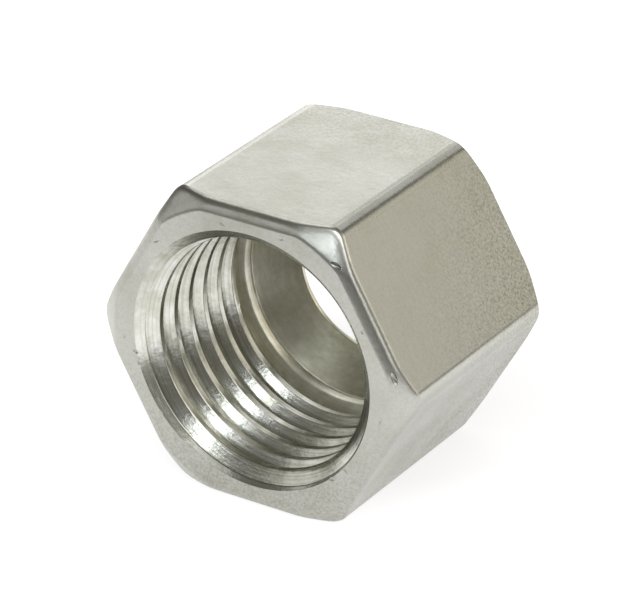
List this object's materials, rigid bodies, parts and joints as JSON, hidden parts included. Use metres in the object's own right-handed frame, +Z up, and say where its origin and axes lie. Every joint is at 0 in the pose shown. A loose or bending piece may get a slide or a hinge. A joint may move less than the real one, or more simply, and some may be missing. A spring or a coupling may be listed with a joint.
{
  "type": "swivel nut",
  "caption": "Hexagon swivel nut for a compression tube fitting: threaded mouth with countersink, run-out groove, conical seat and tube bore.",
  "frame": {"origin": "nut's centre, on its axis halfway between the end faces", "axes": "-Y out of the threaded mouth, +Y out of the tube end, +Z up through the top flat, +X through a corner edge"},
  "size_m": [0.0216, 0.015, 0.019],
  "materials": {
    "stainless_steel": "bare stainless steel, fine satin grain outside, machined bright in the bore"
  },
  "bodies": {
    "root": {"swivel_nut": "stainless_steel"}
  },
  "joints": []
}
